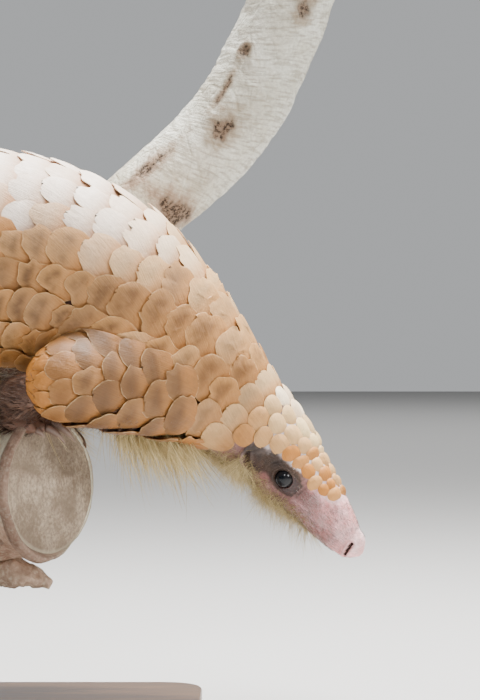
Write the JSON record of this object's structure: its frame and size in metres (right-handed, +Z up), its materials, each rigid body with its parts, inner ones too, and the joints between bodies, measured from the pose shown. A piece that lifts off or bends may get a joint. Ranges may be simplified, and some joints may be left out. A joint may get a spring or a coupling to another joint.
{
  "type": "pangolin model",
  "caption": "Still, life-size pangolin covered in overlapping scales, reaching head-down from a forked cut limb that stands on rods over a flat base.",
  "frame": {"origin": "middle of the base's underside, on the floor", "axes": "+X from the tail towards the head, +Z up, +Y towards the animal's left side"},
  "size_m": [0.6106, 0.2303, 0.4745],
  "materials": {
    "skin": "bare wrinkled skin, satin",
    "scale_horn": "horn scales with fine ridges, satin",
    "eye": "dark, wet and glossy",
    "claw_horn": "worn horn",
    "bark": "grey bark and a weathered sawn face",
    "base_wood": "dark satin varnish",
    "stand_steel": "brushed"
  },
  "bodies": {
    "root": {"head": "skin", "ear_right": "skin", "ear_left": "skin", "eye_right": "eye", "eye_left": "eye", "neck": "scale_horn", "torso_chest": "scale_horn", "torso_waist": "scale_horn", "torso_rump": "scale_horn", "tail_1": "scale_horn", "tail_2": "scale_horn", "tail_3": "scale_horn", "tail_4": "scale_horn", "tail_5": "scale_horn", "foreleg_right_upper": "scale_horn", "foreleg_right_lower": "skin", "foreleg_right_claw_1": "claw_horn", "foreleg_right_claw_2": "claw_horn", "foreleg_right_claw_3": "claw_horn", "foreleg_right_claw_4": "claw_horn", "foreleg_right_claw_5": "claw_horn", "foreleg_left_upper": "scale_horn", "foreleg_left_lower": "skin", "foreleg_left_claw_1": "claw_horn", "foreleg_left_claw_2": "claw_horn", "foreleg_left_claw_3": "claw_horn", "foreleg_left_claw_4": "claw_horn", "foreleg_left_claw_5": "claw_horn", "hindleg_right_upper": "scale_horn", "hindleg_right_lower": "skin", "hindleg_right_claw_1": "claw_horn", "hindleg_right_claw_2": "claw_horn", "hindleg_right_claw_3": "claw_horn", "hindleg_right_claw_4": "claw_horn", "hindleg_right_claw_5": "claw_horn", "hindleg_left_upper": "scale_horn", "hindleg_left_lower": "skin", "hindleg_left_claw_1": "claw_horn", "hindleg_left_claw_2": "claw_horn", "hindleg_left_claw_3": "claw_horn", "hindleg_left_claw_4": "claw_horn", "hindleg_left_claw_5": "claw_horn", "perch_limb": "bark", "perch_branch_lower": "bark", "perch_branch_upper": "bark", "stand_base": "base_wood", "stand_rod_1": "stand_steel", "stand_rod_2": "stand_steel"}
  },
  "joints": []
}
